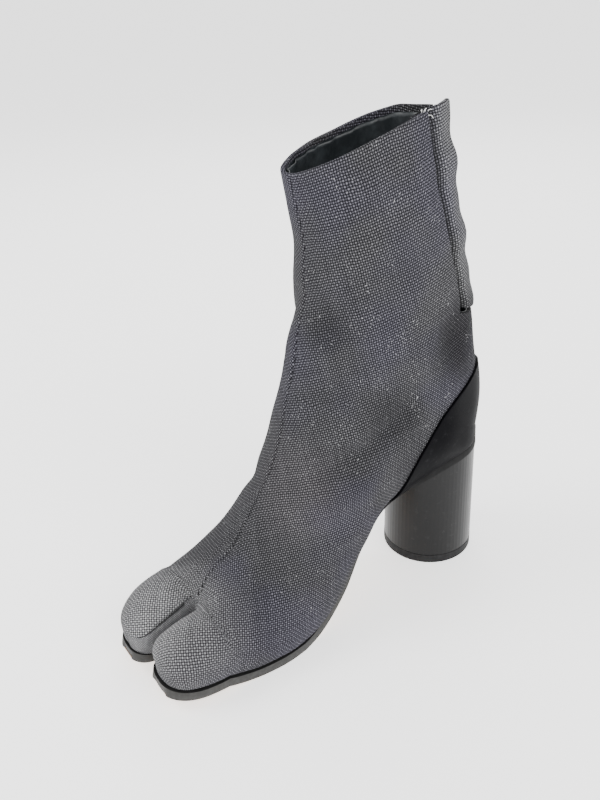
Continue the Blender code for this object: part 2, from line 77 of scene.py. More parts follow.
STATION_COLUMNS = ("name", "fy", "fz", "by", "bz", "wl", "wm", "fl", "fm", "seam", "tilt", "edge",
                   "at", "end", "n", "steps")
STATIONS = (
    ("wall",     33.8,  41.4,  33.8,   9.0, 38.2, 35.2, 36.6, 33.0,  0.6, 0.0, 6.0, .25, 156, 2.15, 1),
    ("crotch",   35.0,  41.7,  35.0,   8.5, 38.6, 35.3, 37.0, 33.0,  0.2, 0.0, 6.0, .25, 134, 2.15, 1),
    ("valley",   37.6,  42.3,  38.0,   7.4, 39.3, 35.4, 37.7, 33.0, -0.6, 0.0, 6.0, .25, 116, 2.15, 1),
    ("toes",     43.0,  43.8,  45.5,   5.6, 41.6, 35.8, 39.6, 33.4, -2.0, 0.0, 6.0, .26, 103, 2.15, 1),
    ("joints",   50.4,  46.4,  56.0,   5.1, 43.6, 36.8, 41.0, 34.6, -3.2, 0.0, 6.0, .26,  94, 2.2, 1),
    ("ball",     58.8,  51.0,  69.5,   5.1, 44.8, 37.6, 41.4, 34.8, -3.8, 0.0, 6.0, .27,  90, 2.2, 2),
    ("tread",    67.6,  60.8,  89.5,   6.2, 43.6, 36.4, 38.4, 31.4, -3.6, 0.0, 6.0, .29,  90, 2.1, 2),
    ("waist",    76.2,  74.6, 110.0,  17.5, 41.0, 34.2, 32.8, 26.0, -2.6, 0.0, 6.0, .32,  90, 2.0, 2),
    ("instep",   84.6,  90.2, 127.5,  36.0, 37.6, 33.8, 27.0, 20.0, -0.8, 0.0, 6.0, .37,  90, 1.95, 2),
    ("arch",     90.6, 106.8, 145.0,  56.0, 35.2, 34.4, 24.4, 19.4,  1.0, 0.0, 6.0, .41,  90, 1.95, 2),
    ("breast",   94.6, 121.6, 168.0,  69.0, 34.8, 35.4, 24.4, 25.4,  2.0, 0.0, 6.0, .42,  90, 2.0, 2),
    ("seat",     97.4, 134.0, 193.0,  75.4, 35.0, 36.4, 23.8, 28.4,  2.3, 0.0, 6.0, .43,  90, 2.0, 1),
    ("heel",     99.2, 140.4, 206.0,  77.2, 35.0, 36.4, 20.2, 24.8,  2.3, 0.0, 6.0, .45,  90, 2.0, 1),
    ("round",   100.8, 145.6, 215.5,  78.0, 35.0, 36.3, 10.7, 15.3,  2.3, 0.0, 6.0, .47,  90, 2.0, 1),
    ("rear",    101.8, 148.2, 218.1,  78.2, 35.0, 36.2,  4.4,  9.0,  2.3, 0.0, 6.0, .48,  90, 2.0, 1),
    ("back",    102.6, 150.4, 219.0,  78.3, 35.0, 36.2,  0.0,  0.0,  2.3, 0.0, 6.0, .49,  90, 2.0, 2),
    ("bulge",   104.4, 159.4, 220.4,  99.3, 34.8, 36.6,  0.0,  0.0,  2.2, 0.0, 6.0, .50,  90, 2.0, 2),
    ("counter", 105.8, 169.2, 215.8, 125.5, 34.8, 37.0,  0.0,  0.0,  2.0, 0.0, 5.6, .50,  90, 2.0, 3),
    ("ankle",   108.6, 184.2, 211.0, 154.0, 35.2, 36.6,  0.0,  0.0,  1.4, 0.0, 4.8, .50,  90, 2.0, 3),
    ("shaft",   112.0, 203.6, 202.8, 191.0, 35.2, 34.4,  0.0,  0.0,  0.6, 1.5, 5.4, .50,  90, 2.0, 3),
    ("cuff",    110.2, 221.4, 195.4, 229.0, 34.2, 31.8,  0.0,  0.0, -0.8, 4.5, 6.0, .50,  90, 2.0, 3),
    ("collar",  107.4, 238.0, 191.6, 261.0, 31.6, 28.8,  0.0,  0.0, -1.6, 7.0, 6.2, .50,  90, 2.0, 0),
)
LOBE_COLUMNS = ("side", "tip_x", "tip_y", "outer", "inner", "top", "outer_in")
LOBES = (
    ("lateral", -12.5, 0.6, 31.0, 12.0, 19.0, 2.6),
    ("medial",   17.5, 4.0, 21.0, 11.0, 18.0, 1.0),
)
LOBE_ROWS = 12              # sections of a lobe, before they are made finer
TIP = 0.02                  # how near the first section lies to the lobe's tip
FINE = 4                    # rows of the cloth for each row of the solids
CLOTH_COLS = 72             # columns of the cloth on each side
SPARSE = {"round": 2, "rear": 1}    # rows of the cloth where the solids' own lie close together
EDGE_COLS = 10              # of these, how many lie in the split's lining or beside the front seam
SEAM_SHARE = 0.975          # where along a section those beside the front seam start
GUSSET_Y = (0.0, 6.0, 16.0, 24.0, 33.0)         # where the smooth strip inside the split starts:
GUSSET_SHARE = {"lateral": (0.87, 0.83, 0.79, 0.765, 0.74), "medial": (0.87, 0.84, 0.82, 0.82, 0.82)}
CANVAS = 2.1                # thickness of the canvas with its interlining
LINING = 0.35
COUNTER = 1.3
COUNTER_GAP = 0.15          # between the canvas and the counter on it
RIM_Y = (105.0, 125.0, 138.0, 155.0, 172.0, 184.0, 192.0)   # the collar's far rim stands higher
RIM_RISE = (1.5, 4.2, 4.4, 3.2, 2.4, 0.8, -1.6)             # than the solid's by this much
SLOTS = 8                   # material slots that a new mesh has until cloth_slots fills them
# the sole's edge is black behind this: partly its black paint, partly painted shade between counter and heel
SEAT_EDGE_FROM = 140.0      # behind this the sole's edge is as black as the heel

# Creases of the cloth, seen from the side. depth: inwards, negative for a ridge; width: half width;
# the points give y and z of its middle line; sides: "both", "medial" or "lateral"
CREASES = (
    ("shin fold",     "both",    3.2,  6.0, ((110.0, 189.0), (110.0, 182.0), (113.0, 168.0), (120.0, 156.0))),
    ("shin ridge",    "medial", -1.5,  6.5, ((122.0, 178.0), (130.0, 166.0), (136.0, 152.0))),
    ("instep shade",  "medial",  2.0,  8.0, ((104.0, 144.0), (115.0, 136.0), (130.0, 128.0))),
    ("vamp trough",   "medial",  3.9,  6.0, ((89.0, 90.0), (106.0, 102.0), (122.0, 106.0), (140.0, 118.0),
                                             (155.0, 127.0))),
    ("vamp ridge",    "medial", -2.0,  6.0, ((87.0, 79.0), (102.0, 84.0), (118.0, 88.0), (134.0, 98.0))),
    ("vamp hollow",   "medial",  2.0,  7.5, ((84.0, 64.0), (104.0, 66.0), (122.0, 74.0))),
    ("ankle hollow",  "medial",  3.4, 11.0, ((164.0, 160.0), (176.0, 153.0), (190.0, 146.0))),
    ("toe dimple",    "both",    3.0,  4.6, ((31.0, 39.6), (37.0, 42.0), (43.0, 44.0))),
    ("lateral fold",  "lateral", 2.4,  8.0, ((74.0, 84.0), (96.0, 74.0), (118.0, 66.0))),
    ("lateral ridge", "lateral", -1.5, 9.0, ((110.0, 150.0), (136.0, 138.0), (158.0, 128.0))),
    ("lateral ankle", "lateral", 2.0,  9.0, ((150.0, 170.0), (172.0, 160.0), (192.0, 152.0))),
)


def spline(p0, p1, p2, p3, t):
    """Smooth curve from p1 at t = 0 to p2 at t = 1, with p0 before and p3 beyond."""
    return 0.5 * (2 * p1 + (p2 - p0) * t + (2 * p0 - 5 * p1 + 4 * p2 - p3) * t ** 2
                  + (3 * p1 - p0 - 3 * p2 + p3) * t ** 3)


def smooth_rows(fine):
    """Rows between the stations on a smooth curve through each column, where each station is, and
    where every row lies counted in the rows of the solids."""
    columns = STATION_COLUMNS[1:-1]
    table = [dict(zip(STATION_COLUMNS, line)) for line in STATIONS]
    for station in table:
        if station["fl"] == 0.0:
            station["fl"], station["fm"] = -station["seam"], station["seam"]
    rows = []
    starts = {}
    places = []
    base = 0
    for i, station in enumerate(table):
        starts[station["name"]] = len(rows)
        before = table[max(i - 1, 0)]
        after = table[min(i + 1, len(table) - 1)]
        beyond = table[min(i + 2, len(table) - 1)]
        count = station["steps"] * fine if station["steps"] else 1
        if fine > 1:
            count = SPARSE.get(station["name"], count)
        for step in range(count):
            t = step / count
            places.append(base + t * station["steps"])
            row = {c: spline(before[c], station[c], after[c], beyond[c], t) for c in columns}
            row["bz"] = max(row["bz"], SOLE + SOLE_DROP)
            if "back" in starts:
                row["fl"], row["fm"] = -row["seam"], row["seam"]
            rows.append(row)
        base += station["steps"]
    return rows, starts, places


def rounding(distance, length):
    """From 0 at the tip to 1 where the round of a lobe ends."""
    t = min(distance / length, 1.0)
    return (1 - (1 - t) ** LOBE_ROUND) ** (1 / LOBE_ROUND)


def arc_of_row(row, side):
    """What section_point needs for a row behind the split."""
    s = SIDES[side]
    wide, foot = (row["wl"], row["fl"]) if side == "lateral" else (row["wm"], row["fm"])
    return {"side": s, "outer": s * wide, "foot": s * foot, "inner": row["seam"], "tilt": row["tilt"],
            "edge": row["edge"] / COLS if side == "medial" else PLACKET_COL / COLS,
            "end": row["end"], "n": row["n"], "at": row["at"],
            "front": (row["fy"], row["fz"]), "back": (row["by"], row["bz"])}


def arc_of_lobe(lobe, t, split_row):
    """What section_point needs for a section of a lobe, with t from 0 at its tip to 1 at the split."""
    s = SIDES[lobe["side"]]
    ahead = 1 - math.cos(math.pi / 2 * (TIP + (1 - TIP) * t))
    y = lobe["tip_y"] + (SPLIT_Y - lobe["tip_y"]) * ahead
    forward = (SPLIT_Y - y) / SPLIT_Y
    wide = split_row["wl"] if s < 0 else split_row["wm"]
    outer_line = s * (wide - lobe["outer_in"] * forward ** 2)
    inner_line = SPLIT_X + s * (SPLIT_GAP / 2 + 0.8 * forward)
    outer_round = rounding(y - lobe["tip_y"], lobe["outer"])
    inner_round = rounding(y - lobe["tip_y"], lobe["inner"])
    outer = lobe["tip_x"] + (outer_line - lobe["tip_x"]) * outer_round
    inner = lobe["tip_x"] + (inner_line - lobe["tip_x"]) * inner_round
    base = split_row["bz"] + TOE_SPRING * forward ** 1.6
    crest = split_row["fz"] - LOBE_SLOPE * (SPLIT_Y - y)
    wide_z = base + split_row["at"] * (split_row["fz"] - split_row["bz"])
    top = wide_z + (crest - wide_z) * rounding(y - lobe["tip_y"], lobe["top"])
    under = split_row["wl"] - split_row["fl"] if s < 0 else split_row["wm"] - split_row["fm"]
    return {"side": s, "outer": outer, "foot": outer - s * under * outer_round, "inner": inner,
            "tilt": 0.0, "edge": PLACKET_COL / COLS, "end": SPLIT_END, "n": split_row["n"],
            "at": (wide_z - base) / (top - base), "front": (y, top), "back": (y, base)}


def section_point(arc, t):
    """A point of the upper: t runs from the feather line, or the back line, at 0 over the side to the
    front seam, or down the inner wall of a lobe, at 1."""
    s, n = arc["side"], arc["n"]
    edge = PLACKET_COL / COLS
    t = t * arc["edge"] / edge if t < edge else 1 - (1 - t) * (1 - arc["edge"]) / (1 - edge)
    end = math.radians(arc["end"])
    past = abs(math.cos(min(end, math.pi))) ** (2 / n) if end > math.pi / 2 else 0.0
    w = abs(arc["outer"] - arc["inner"]) / (1 + past)
    middle = arc["inner"] + s * w * past
    low = math.acos(min(max(abs(arc["foot"] - middle) / w, 0.0), 1.0) ** (n / 2))
    split_end = math.radians(SPLIT_END)
    keep = max(math.radians(KEEP_TO - KEEP_FALL * (WALL_END - arc["end"])), -low)
    phi = -low + (split_end + low) * t
    if phi > keep:
        phi = keep + (phi - keep) * (end - keep) / (split_end - keep)
    c, h = math.cos(phi), math.sin(phi)
    x = middle + s * w * math.copysign(abs(c) ** (2 / n), c)
    if h >= 0:
        rise = arc["at"] + (1 - arc["at"]) * h ** (2 / n)
    else:
        lowest = math.sin(low) if c > 0 or end <= math.pi else abs(math.sin(end))
        rise = arc["at"] * (1 - abs(h) / lowest)
    (fy, fz), (by, bz) = arc["front"], arc["back"]
    return (x, by + (fy - by) * rise, bz + (fz - bz) * rise + arc["tilt"] * x / 35.0)


def all_arcs(fine):
    """Every section, lateral and medial, lobes first; how many are the lobes'; the stations; and the
    places of the rows behind the lobes, counted in the rows of the solids."""
    rows, starts, places = smooth_rows(fine)
    lobes = {line[0]: dict(zip(LOBE_COLUMNS, line)) for line in LOBES}
    count = (LOBE_ROWS - 1) * fine + 1
    arcs = {}
    for side in SIDES:
        front = [arc_of_lobe(lobes[side], i / (count - 1), rows[0]) for i in range(count)]
        arcs[side] = front + [arc_of_row(row, side) for row in rows]
    return arcs, count, {name: i + count for name, i in starts.items()}, places


def smooth_step(low, high, value):
    """0 below low, 1 above high, and a smooth curve between."""
    t = np.clip((value - low) / (high - low), 0.0, 1.0)
    return t * t * (3 - 2 * t)


def unit(v):
    """Vectors of length 1."""
    return v / np.maximum(np.linalg.norm(v, axis=-1, keepdims=True), 1e-9)


def grid_normals(p, side):
    """Outward normals at the points of one side's grid."""
    n = np.cross(np.gradient(p, axis=0), np.gradient(p, axis=1))
    return unit(n) * SIDES[side]


def split_mesh(count, last, lobes, ring_from=None, slit_from=0, slit_cols=0, caps=False):
    """Grid places of the vertices of a surface given by lateral and medial grids, its faces, and the
    grid places of each face's corners.

    Before row 'lobes' the two sides are apart; behind it they share their last point, on the seam;
    with None for 'lobes' they never do. From 'ring_from' on they share their first point too, on the
    back line. From 'slit_from' on the medial side's first slit_cols facets are left open."""
    places = []
    index = {}
    for side in ("lateral", "medial"):
        for i in range(count):
            for k in range(last + 1):
                if side == "medial" and ((k == last and lobes is not None and i >= lobes)
                                         or (k == 0 and ring_from is not None and i >= ring_from)):
                    index[side, i, k] = index["lateral", i, k]
                    continue
                if side == "medial" and i > slit_from and k < slit_cols:
                    continue
                index[side, i, k] = len(places)
                places.append((side, i, k))
    spots = []
    for side in ("lateral", "medial"):
        found = [[(i, k), (i, k + 1), (i + 1, k + 1), (i + 1, k)]
                 for i in range(count - 1) for k in range(last)
                 if side == "lateral" or i < slit_from or k >= slit_cols]
        if caps:
            found += [list(dict.fromkeys([(0, k), (0, last - k), (0, last - k - 1), (0, k + 1)]))
                      for k in range(last // 2)]
        order = -1 if side == "medial" else 1
        spots += [[(side, i, k) for i, k in corners[::order]] for corners in found]
    if lobes:
        spots.append([("lateral", lobes - 1, last), ("medial", lobes - 1, last), ("lateral", lobes, last)])
    return places, [[index[spot] for spot in corners] for corners in spots], spots


def join_sides(grids, seam_from=None, ring_from=None):
    """Give both sides the same points on the front seam and on the back line, from these rows on."""
    for column, first in ((-1, seam_from), (0, ring_from)):
        if first is not None:
            line = (grids["lateral"][first:, column] + grids["medial"][first:, column]) / 2
            for side in SIDES:
                grids[side][first:, column] = line


def make_object(name, points, faces):
    """A smooth mesh object in the frame of the CAD nodes from points in the boot's millimetres."""
    mesh = bpy.data.meshes.new(name)
    moved = (np.asarray(points, dtype=float) - np.array([ORIGIN_X, ORIGIN_Y, 0.0])) * MM
    mesh.from_pydata([tuple(p) for p in moved], [], faces)
    obj = bpy.data.objects.new(name, mesh)
    bpy.context.scene.collection.objects.link(obj)
    mesh.shade_smooth()
    for _ in range(SLOTS):
        mesh.materials.append(None)
    return obj


def only(obj):
    """Select this object alone."""
    bpy.ops.object.select_all(action="DESELECT")
    obj.select_set(True)
    bpy.context.view_layer.objects.active = obj


def apply_all(obj):
    """Make every modifier's result the mesh itself."""
    only(obj)
    for modifier in list(obj.modifiers):
        bpy.ops.object.modifier_apply(modifier=modifier.name)


def thicken(obj, thickness, outward=False, rim=0, inner=0):
    """Turn a surface into a sheet with real thickness."""
    solid = obj.modifiers.new("thickness", "SOLIDIFY")
    solid.thickness = thickness * MM
    solid.offset = 1.0 if outward else -1.0
    solid.use_even_offset = False
    solid.use_rim = True
    solid.material_offset_rim = rim
    solid.material_offset = inner
    apply_all(obj)


def round_rims(obj, rim_slots, width, above=None):
    """Round the edges between a sheet's rim faces and its flat sides, or those above a height alone."""
    mesh = obj.data
    least = -1.0 if above is None else above * MM
    weight = mesh.attributes.new("bevel_weight_edge", "FLOAT", "EDGE")
    kinds = {}
    for face in mesh.polygons:
        for key in face.edge_keys:
            kinds.setdefault(key, []).append(face.material_index in rim_slots)
    values = [float(len(set(kinds.get(edge.key, []))) == 2 and mesh.vertices[edge.vertices[0]].co.z > least)
              for edge in mesh.edges]
    weight.data.foreach_set("value", values)
    bevel = obj.modifiers.new("rounding", "BEVEL")
    bevel.limit_method = "WEIGHT"
    bevel.width = width * MM
    bevel.segments = 3
    bevel.use_clamp_overlap = True
    apply_all(obj)


def distance_to_line(y, z, line):
    """Distance of points (y, z) to a polyline, and how far along it the nearest place is, 0 to 1."""
    best = np.full(y.shape, 1e9)
    place = np.zeros(y.shape)
    legs = len(line) - 1
    for j in range(legs):
        (ay, az), (by, bz) = line[j], line[j + 1]
        dy, dz = by - ay, bz - az
        t = np.clip(((y - ay) * dy + (z - az) * dz) / (dy * dy + dz * dz), 0.0, 1.0)
        d = np.hypot(y - ay - t * dy, z - az - t * dz)
        nearer = d < best
        best = np.where(nearer, d, best)
        place = np.where(nearer, (j + t) / legs, place)
    return best, place


def crease_depth(points, side):
    """How deep the creases press in at each point of a side's grid."""
    y, z = points[..., 1], points[..., 2]
    depth = np.zeros(y.shape)
    for _, sides, deep, wide, line in CREASES:
        if sides not in (side, "both"):
            continue
        distance, place = distance_to_line(y, z, line)
        fade = np.sin(np.pi * np.clip(place * 0.8 + 0.1, 0.0, 1.0))
        depth += deep * fade * np.exp(-(distance / wide) ** 2)
    return depth


def ripples(points):
    """Slight unevenness of cloth stretched over a last."""
    x, y, z = points[..., 0], points[..., 1], points[..., 2]
    return (0.28 * np.sin(y / 11.0 + z / 17.0 + 1.3) * np.sin(z / 9.0 - x / 14.0)
            + 0.22 * np.sin(y / 6.1 - z / 7.7 + x / 9.0) * np.sin(z / 13.0 + y / 8.0 + 0.7))


def unwrap_panel(side):
    """The flat pattern of one side's panel: u, v in metres at the solids' own rows and columns."""
    arcs, lobes, _, _ = all_arcs(1)
    grid = np.array([[section_point(arc, k / COLS) for k in range(COLS + 1)] for arc in arcs[side]])
    count = len(grid)
    wide = COLS + 1
    faces = [[i * wide + k, i * wide + k + 1, (i + 1) * wide + k + 1, (i + 1) * wide + k]
             for i in range(count - 1) for k in range(COLS)]
    panel = make_object("pattern", grid.reshape(-1, 3), faces)
    panel.data.uv_layers.new(name="flat")
    only(panel)
    bpy.ops.object.mode_set(mode="EDIT")
    bpy.ops.mesh.select_all(action="SELECT")
    bpy.ops.uv.unwrap(method="MINIMUM_STRETCH", iterations=40, margin=0.0)
    bpy.ops.object.mode_set(mode="OBJECT")
    flat = np.zeros((count * wide, 2))
    for loop, spot in zip(panel.data.loops, panel.data.uv_layers["flat"].data):
        flat[loop.vertex_index] = spot.uv
    area = sum(face.area for face in panel.data.polygons)
    p = flat[faces]
    q = np.roll(p, -1, axis=1)
    flat_area = np.abs(np.sum(p[..., 0] * q[..., 1] - q[..., 0] * p[..., 1], axis=1)).sum() / 2
    bpy.data.objects.remove(panel)
    flat = flat.reshape(count, wide, 2) * math.sqrt(area / flat_area)
    up = flat[-1, COLS // 2] - flat[-8, COLS // 2]
    turn = math.pi / 2 - math.atan2(up[1], up[0])
    c, s = math.cos(turn), math.sin(turn)
    flat = flat @ np.array([[c, s], [-s, c]])
    if (flat[-1, COLS, 0] - flat[-1, 0, 0]) > 0:
        flat[..., 0] *= -1
    return flat - flat[-1, COLS], lobes


def curve_through(values, places):
    """Smooth interpolation of rows of values at fractional places."""
    count = len(values)
    i = np.clip(np.floor(places).astype(int), 0, count - 2)
    return spline(values[np.clip(i - 1, 0, count - 1)], values[i], values[i + 1],
                  values[np.clip(i + 2, 0, count - 1)], (places - i)[:, None, None])


class Cloth:
    """The canvas of both sides as fine grids of points, normals, flat pattern and distances."""

    def __init__(self):
        arcs, self.lobes, self.starts, self.places = all_arcs(FINE)
        self.arcs = arcs
        self.count = len(arcs["lateral"])
        self.share = {side: [self.shares(i, side) for i in range(self.count)] for side in SIDES}
        self.points = {}
        self.flat = {}
        self.seam = {}
        self.normals = {}
        for side in SIDES:
            raw = np.array([[section_point(arc, t) for t in self.share[side][i]]
                            for i, arc in enumerate(arcs[side])])
            x, y = raw[..., 0], raw[..., 1]
            far = np.clip(-x / 18.0, 0.0, 1.0)
            rise = far * np.interp(y, RIM_Y, RIM_RISE)
            rise += 2.8 * np.clip(x / 30.0, 0.0, 1.0) ** 2 - 4.4 * (1 - far) * smooth_step(178.0, 190.0, y)
            raw[..., 2] += smooth_step(205.0, 262.0, raw[..., 2]) * rise
            self.points[side] = raw
            self.normals[side] = grid_normals(raw, side)
            steps = np.linalg.norm(np.diff(raw, axis=1), axis=2)
            back = np.cumsum(steps[:, ::-1], axis=1)[:, ::-1]
            self.seam[side] = np.concatenate([back, np.zeros((self.count, 1))], axis=1)
            self.flat[side] = self.flat_pattern(side)
        self.shape()

    def shares(self, i, side):
        """Where the columns of row i lie along its section."""
        y = self.arcs["medial"][i]["back"][0]
        start = float(np.interp(y, GUSSET_Y, GUSSET_SHARE[side]))
        if i >= self.lobes:
            start += (SEAM_SHARE - start) * min((i - self.lobes + 2) / (2.0 * FINE), 1.0)
        first = np.linspace(0.0, start, CLOTH_COLS - EDGE_COLS + 1)
        return np.concatenate([first, np.linspace(start, 1.0, EDGE_COLS + 1)[1:]])

    def flat_pattern(self, side):
        """The panel's flat pattern at the fine rows and columns."""
        coarse, lobes = unwrap_panel(side)
        front = curve_through(coarse[:lobes], np.arange(self.lobes) / FINE)
        behind = curve_through(coarse[lobes:], np.array(self.places))
        rows = np.concatenate([front, behind])
        fine = np.zeros((self.count, CLOTH_COLS + 1, 2))
        for i in range(self.count):
            fine[i] = curve_through(rows[i][:, None, :], self.share[side][i] * COLS)[:, 0, :]
        return fine

    def shape(self):
        """Press in creases, seam grooves and the line over the sole."""
        for side in SIDES:
            points, normals, seam = self.points[side], self.normals[side], self.seam[side]
            press = crease_depth(points, side) + ripples(points)
            behind = (np.arange(self.count) >= self.lobes + FINE)[:, None]
            groove = 0.38 * np.exp(-(seam / 0.9) ** 2) - 0.16 * np.exp(-((seam - 2.4) / 1.3) ** 2)
            press += np.where(behind, groove, 0.0)
            edge = CLOTH_COLS - EDGE_COLS
            column = np.arange(CLOTH_COLS + 1)[None, :]
            inside = np.where(behind, 0.0, smooth_step(edge - 1.0, edge + 0.6, column))
            line = np.exp(-((column - edge) / 0.7) ** 2) * np.where(behind, 0.0, 1.0)
            press += 0.45 * inside + 0.8 * line
            steps = np.linalg.norm(np.diff(points, axis=1), axis=2)
            foot = np.concatenate([np.zeros((self.count, 1)), np.cumsum(steps, axis=1)], axis=1)
            low = (np.arange(self.count) < self.starts["back"])[:, None]
            press += np.where(low, 0.7 * np.exp(-(foot / 1.3) ** 2), 0.0)
            self.points[side] = points - normals * press[..., None]
        join_sides(self.points, self.lobes, self.starts["back"])
        for side in SIDES:
            self.normals[side] = grid_normals(self.points[side], side)

    def sample(self, side, i, share):
        """Point, normal and place in the flat pattern at row i and a place along its section."""
        at = float(np.interp(share, self.share[side][i], np.arange(CLOTH_COLS + 1)))
        k = min(int(at), CLOTH_COLS - 1)
        t = at - k
        p, n, flat = (grid[side][i, k] * (1 - t) + grid[side][i, k + 1] * t
                      for grid in (self.points, self.normals, self.flat))
        return p, unit(n), flat


def write_uv(obj, name, values):
    """Give each face corner a pair of values. "flat" is its place in the flat pattern; "line" is how far
    it is from a seam or gap (u, 0 on it) and from the front seam (v)."""
    layer = obj.data.uv_layers.new(name=name)
    layer.data.foreach_set("uv", [c for pair in values for c in pair])


def slit_column(cloth):
    """Column of the medial panel's rear edge."""
    shares = cloth.share["medial"][-1]
    return int(np.argmin(np.abs(shares - PLACKET_COL / COLS)))


def make_canvas(cloth):
    """Both canvas panels, with the split's smooth inner strips, rolled at collar and placket."""
    slit = slit_column(cloth)
    places, faces, spots = split_mesh(
        cloth.count, CLOTH_COLS, cloth.lobes, ring_from=cloth.starts["back"],
        slit_from=cloth.starts["ankle"], slit_cols=slit, caps=True)
    points = [cloth.points[side][i, k] for side, i, k in places]
    obj = make_object("canvas_upper", points, faces)
    write_uv(obj, "flat", [cloth.flat[side][i, k] for face in spots for side, i, k in face])
    edge = CLOTH_COLS - EDGE_COLS
    write_uv(obj, "line", [(min(abs(k - edge) / 4.0, 1.0) if i < cloth.lobes - 2 else 1.0,
                            min(cloth.seam[side][i, k] / 10.0, 1.0) if i > cloth.lobes else 1.0)
                           for face in spots for side, i, k in face])
    for face, corners in zip(obj.data.polygons, spots):
        face.material_index = int(all(i <= cloth.lobes and k >= edge for _, i, k in corners))
    outward = {}
    for n, (side, i, k) in enumerate(places):
        flat = cloth.flat[side]
        if i == cloth.count - 1:
            outward[n] = flat[i, k] - flat[i - 1, k]
        elif side == "medial" and k == slit:
            outward[n] = flat[i, k] - flat[i, k + 1]
    total = len(places)
    thicken(obj, CANVAS, rim=2, inner=4)
    layer = obj.data.uv_layers["flat"].data
    for face in obj.data.polygons:
        if face.material_index not in (2, 3):
            continue
        for li in face.loop_indices:
            v = obj.data.loops[li].vertex_index
            if v >= total and v - total in outward:
                layer[li].uv = np.array(layer[li].uv) + unit(outward[v - total]) * CANVAS * MM
    for j, corners in enumerate(spots):
        if all(i >= cloth.count - 3 for _, i, _ in corners):
            obj.data.polygons[j + len(spots)].material_index = 0
    round_rims(obj, (2, 3), 0.95, above=157.0)
    return obj


def make_lining(cloth):
    """Lining inside the shaft and heel, gathered in small puckers under the collar."""
    slit = slit_column(cloth)
    first = cloth.starts["tread"]
    count = cloth.count - first - 2     # it ends two rows under the collar
    grids = {}
    for side in SIDES:
        points = cloth.points[side][first:first + count]
        normals = cloth.normals[side][first:first + count]
        z = points[..., 2]
        run = cloth.seam[side][first:first + count]
        top = points[-1:, :, 2]
        fade = np.exp(-(top - z) / 20.0)
        s = SIDES[side]
        wave = np.sin(run / 1.75 + 0.9 * np.sin(run / 7.0) + 0.5 * s) + 0.5 * np.sin(run / 0.98 + 2.0 * s)
        pucker = 1.25 * (wave * 0.5 + 0.75) * fade
        grids[side] = points - normals * (CANVAS + 0.25 + pucker)[..., None]
    ring = cloth.starts["back"] - first
    join_sides(grids, 0, ring)
    places, faces, _ = split_mesh(count, CLOTH_COLS, 0, ring_from=ring,
                                  slit_from=cloth.starts["ankle"] - first, slit_cols=slit)
    obj = make_object("lining", [grids[side][i, k] for side, i, k in places], faces)
    thicken(obj, LINING)
    return obj


def make_strip(cloth):
    """Rear strip of the placket, slightly wavy, passing in under the medial panel's edge."""
    slit = slit_column(cloth)
    first = cloth.starts["ankle"] + 1
    edge = cloth.share["medial"][-1][slit]
    shares = list(np.linspace(0.012, edge * 0.78, 16)) + list(np.linspace(edge * 0.80, edge * 1.2, 14))
    grid = []
    pattern = []
    for i in range(first, cloth.count):
        line = []
        for share in shares:
            p, n, flat_place = cloth.sample("medial", i, share)
            inset = (CANVAS + 1.0) * float(smooth_step(edge * 0.76, edge * 0.93, share))
            middle = math.sin(math.pi * min(share / edge, 1.0))
            wave = 0.9 * math.sin(p[2] / 5.2 + 0.6) + 0.6 * math.sin(p[2] / 2.9 + 2.0)
            line.append(p - n * (inset - (1.2 + 0.8 * wave) * middle))
            pattern.append(flat_place)
        grid.append(line)
    rows = len(grid)
    cols = len(shares)
    faces = [[i * cols + k, (i + 1) * cols + k, (i + 1) * cols + k + 1, i * cols + k + 1]
             for i in range(rows - 1) for k in range(cols - 1)]
    obj = make_object("placket_strip_canvas", np.array(grid).reshape(-1, 3), faces)
    write_uv(obj, "flat", [pattern[loop.vertex_index] for loop in obj.data.loops])
    # u of the line map: nearness to the gap under the medial panel's edge, where the material paints that
    # edge's shadow
    write_uv(obj, "line", [(np.clip((0.93 - shares[loop.vertex_index % cols] / edge) * 1.6, 0.0, 1.0), 1.0)
                           for loop in obj.data.loops])
    thicken(obj, CANVAS - 0.2, rim=1, inner=2)
    round_rims(obj, (1,), 0.7)
    return obj


def spaced(rows, line, least, keep):
    """Rows at least this far apart along a line; those in 'keep' always stay."""
    kept = []
    for i in rows:
        if i in keep:
            while kept and kept[-1] not in keep and np.linalg.norm(line[kept[-1]] - line[i]) < least:
                kept.pop()
            kept.append(i)
        elif not kept or np.linalg.norm(line[i] - line[kept[-1]]) >= least:
            kept.append(i)
    return kept


def make_counter(cloth):
    """Leather counter laid over the heel, its front edge an arc seen from the side."""
    cols = 30
    rear = cloth.points["medial"][:, 0]
    chosen = [i for i in range(cloth.lobes, cloth.count)
              if COUNTER_ARC_R - math.hypot(rear[i, 1] - COUNTER_ARC_Y, rear[i, 2] - COUNTER_ARC_Z) > 1.0]
    chosen = spaced(chosen, rear, 1.6, (chosen[0], cloth.starts["back"], chosen[-1]))
    grids = {}
    for side in SIDES:
        grid = []
        for i in chosen:
            _, y, z = cloth.points[side][i].T
            inside = COUNTER_ARC_R - np.hypot(y - COUNTER_ARC_Y, z - COUNTER_ARC_Z)
            past = np.where(inside <= 0)[0]
            k = int(past[0]) if len(past) else CLOTH_COLS
            t = inside[k - 1] / (inside[k - 1] - inside[k])
            end = cloth.share[side][i][k - 1] * (1 - t) + cloth.share[side][i][k] * t
            start = 0.006 if i < cloth.starts["back"] else 0.0
            line = []
            for share in np.linspace(start, max(end, start + 0.01), cols + 1):
                p, n, _ = cloth.sample(side, i, share)
                line.append(p + n * COUNTER_GAP)
            grid.append(line)
        grids[side] = np.array(grid)
    ring = chosen.index(cloth.starts["back"])
    join_sides(grids, None, ring)
    places, faces, _ = split_mesh(len(chosen), cols, None, ring_from=ring)
    obj = make_object("heel_counter_leather", [grids[side][i, k] for side, i, k in places], faces)
    thicken(obj, COUNTER, outward=True, rim=1)
    round_rims(obj, (1,), 0.55)
    return obj


